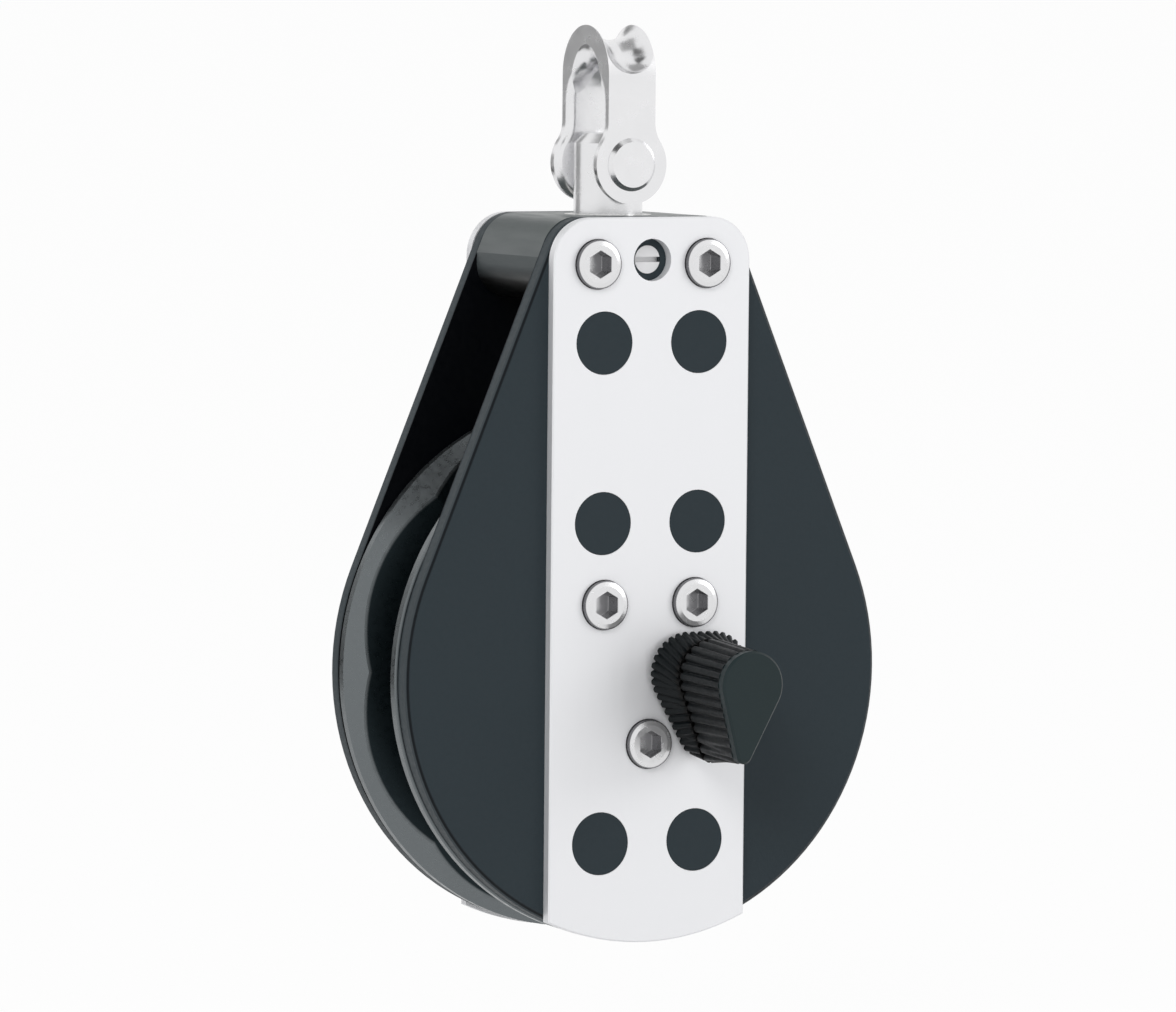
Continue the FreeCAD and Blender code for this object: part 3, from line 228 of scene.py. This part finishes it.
# Knob
# A moulded black lever knob in two ribbed tiers with a smooth end face, pressed on its cam shaft. A deep
# seam runs round it between the tiers, painted black as shade, and the ribbed tiers are painted darker than
# the end face as shade.
KNOB_RIBS_SHADE = (0.002, 0.004, 0.005)
KNOB_SEAM_SHADE = (0.0005, 0.0005, 0.0005)
KNOB_FACE = (0.015, 0.026, 0.028)
knob_plastic, shader = new_material("knob nylon", KNOB_FACE, 0.0, 0.42)
shader.inputs["Specular IOR Level"].default_value = 0.22
height = grain(knob_plastic, shader, (1800.0, 1800.0, 1800.0), 0.34, 0.5)
relief(knob_plastic, shader, height, 0.15, 0.0001)
# Painted shade: the seam between the tiers is painted black, and the ribbed tiers darker than the end face.
banded(knob_plastic, shader, from_middle(knob_plastic, "Y"), (0.01742, KNOB_RIBS_SHADE), (0.01766, KNOB_SEAM_SHADE),
       (0.0187, KNOB_SEAM_SHADE), (0.01894, KNOB_RIBS_SHADE), (0.02894, KNOB_RIBS_SHADE), (0.02942, KNOB_FACE))
dress(knob_plastic, "knob_plastic", "ratchet_knob")

# Floor
# A wide pale floor below the hanging block. It shows white, and keeps a soft shadow.
FLOOR_REACH, FLOOR_LEVEL = 40.0, -0.06
FLOOR_PAINT = (0.9, 0.9, 0.9)
FLOOR_GLOW = 0.96


def sheet(name, width, height, level=0.0):
    """A flat rectangle, given by half its width and half its height."""
    mesh = bpy.data.meshes.new(name)
    corners = [(-width, -height), (width, -height), (width, height), (-width, height)]
    mesh.from_pydata([(x, y, level) for x, y in corners], [], [(0, 1, 2, 3)])
    piece = bpy.data.objects.new(name, mesh)
    bpy.context.scene.collection.objects.link(piece)
    return piece


def seen_directly(tree):
    """1 where the camera looks, also in a mirror or through something clear, and 0 for scattered light."""
    rays = tree.nodes.new("ShaderNodeLightPath")
    seen = rays.outputs["Is Camera Ray"]
    for kind in ("Is Glossy Ray", "Is Transmission Ray"):
        either = tree.nodes.new("ShaderNodeMath")
        either.operation = "ADD"
        either.use_clamp = True
        tree.links.new(seen, either.inputs[0])
        tree.links.new(rays.outputs[kind], either.inputs[1])
        seen = either.outputs[0]
    return seen


floor = sheet("floor", FLOOR_REACH, FLOOR_REACH, FLOOR_LEVEL)
floor_paint, shader = new_material("pale floor", FLOOR_PAINT, 0.0, 1.0)
shader.inputs["Specular IOR Level"].default_value = 0.0
nodes, links = floor_paint.node_tree.nodes, floor_paint.node_tree.links
glow = nodes.new("ShaderNodeEmission")
glow.inputs["Color"].default_value = (1.0, 1.0, 1.0, 1.0)
share = nodes.new("ShaderNodeMath")
share.operation = "MULTIPLY"
share.inputs[1].default_value = FLOOR_GLOW
blend = nodes.new("ShaderNodeMixShader")
links.new(seen_directly(floor_paint.node_tree), share.inputs[0])
links.new(share.outputs[0], blend.inputs[0])
links.new(shader.outputs[0], blend.inputs[1])
links.new(glow.outputs[0], blend.inputs[2])
links.new(blend.outputs[0], nodes["Material Output"].inputs["Surface"])
floor.data.materials.append(floor_paint)

# Light
# A white room that the metal mirrors, a large soft lamp from the upper left and a weak one from the right.
# Grey cards, which the camera doesn't see, darken the left sides and the rounded edges of the polished metal.
ROOM_LIGHT = 0.5
BLOCK_MIDDLE = (0.0, 0.0, 0.02)
UPWARD = (0.0, 0.0, 1.0)
world = bpy.data.worlds.new("white room")
bpy.context.scene.world = world
world.use_nodes = True
nodes, links = world.node_tree.nodes, world.node_tree.links
room = nodes["Background"]
room.inputs["Color"].default_value = (1.0, 1.0, 1.0, 1.0)
level = nodes.new("ShaderNodeMapRange")
level.inputs["To Min"].default_value = ROOM_LIGHT
level.inputs["To Max"].default_value = 1.0
links.new(seen_directly(world.node_tree), level.inputs["Value"])
links.new(level.outputs["Result"], room.inputs["Strength"])


def soft_lamp(name, place, size, power, mirrored):
    """A square lamp aimed at the block's middle, which the metal mirrors or not."""
    lamp = bpy.data.lights.new(name, "AREA")
    lamp.size = size
    lamp.energy = power
    holder = bpy.data.objects.new(name, lamp)
    bpy.context.scene.collection.objects.link(holder)
    holder.location = place
    holder.rotation_euler = (Vector(BLOCK_MIDDLE) - Vector(place)).to_track_quat("-Z", "Y").to_euler()
    holder.visible_glossy = mirrored


def grey_card(name, place, width, height, tone, facing=None):
    """An upright card turned to the block, or one that faces as told. Width and height are halves."""
    card = sheet(name, width, height)
    card.location = place
    card.rotation_euler = Vector(facing or (place[0], place[1], 0.0)).to_track_quat("Z", "Y").to_euler()
    card.visible_camera = False
    card.data.materials.append(new_material(name, (tone, tone, tone), 0.0, 0.9)[0])


soft_lamp("left lamp", (-0.9, -0.9, 0.9), size=0.7, power=9.0, mirrored=False)
soft_lamp("right lamp", (1.1, -0.8, 0.5), size=0.6, power=3.0, mirrored=True)
grey_card("back card", (-0.22, 0.38, 0.085), 0.12, 0.06, tone=0.5)
grey_card("low card", (-0.22, 0.37, -0.02), 0.12, 0.038, tone=0.01)
grey_card("high card", (-0.03, 0.44, 0.31), 0.12, 0.08, tone=0.35)
grey_card("dark ceiling card", (-0.38, -0.26, 0.7), 0.27, 0.16, tone=0.03, facing=UPWARD)
grey_card("grey ceiling card", (0.02, 0.08, 0.5), 0.16, 0.16, tone=0.6, facing=UPWARD)

# Camera
# The photograph's view: from the left of the knob side and slightly above, with a long lens.
AZIMUTH, ELEVATION, ROLL = math.radians(-27.974), math.radians(3.804), math.radians(0.514)
DISTANCE, MOVED_LEFT, MOVED_UP = 1.3, 0.002257, 0.02318
SENSOR_WIDTH, FOCAL_LENGTH = 36.0, 276.7
back = Vector((math.sin(AZIMUTH) * math.cos(ELEVATION), -math.cos(AZIMUTH) * math.cos(ELEVATION),
               math.sin(ELEVATION)))
level_right = Vector((math.cos(AZIMUTH), math.sin(AZIMUTH), 0.0))
level_up = back.cross(level_right)
right = level_right * math.cos(ROLL) + level_up * math.sin(ROLL)
up = level_up * math.cos(ROLL) - level_right * math.sin(ROLL)
lens = bpy.data.cameras.new("photo camera")
lens.sensor_width = SENSOR_WIDTH
lens.lens = FOCAL_LENGTH
lens.clip_end = 200.0
camera = bpy.data.objects.new("photo camera", lens)
bpy.context.scene.collection.objects.link(camera)
turn = Matrix((right, up, back)).transposed().to_4x4()
turn.translation = back * DISTANCE - right * MOVED_LEFT + up * MOVED_UP
camera.matrix_world = turn
bpy.context.scene.camera = camera
bpy.context.scene.view_settings.view_transform = "Standard"
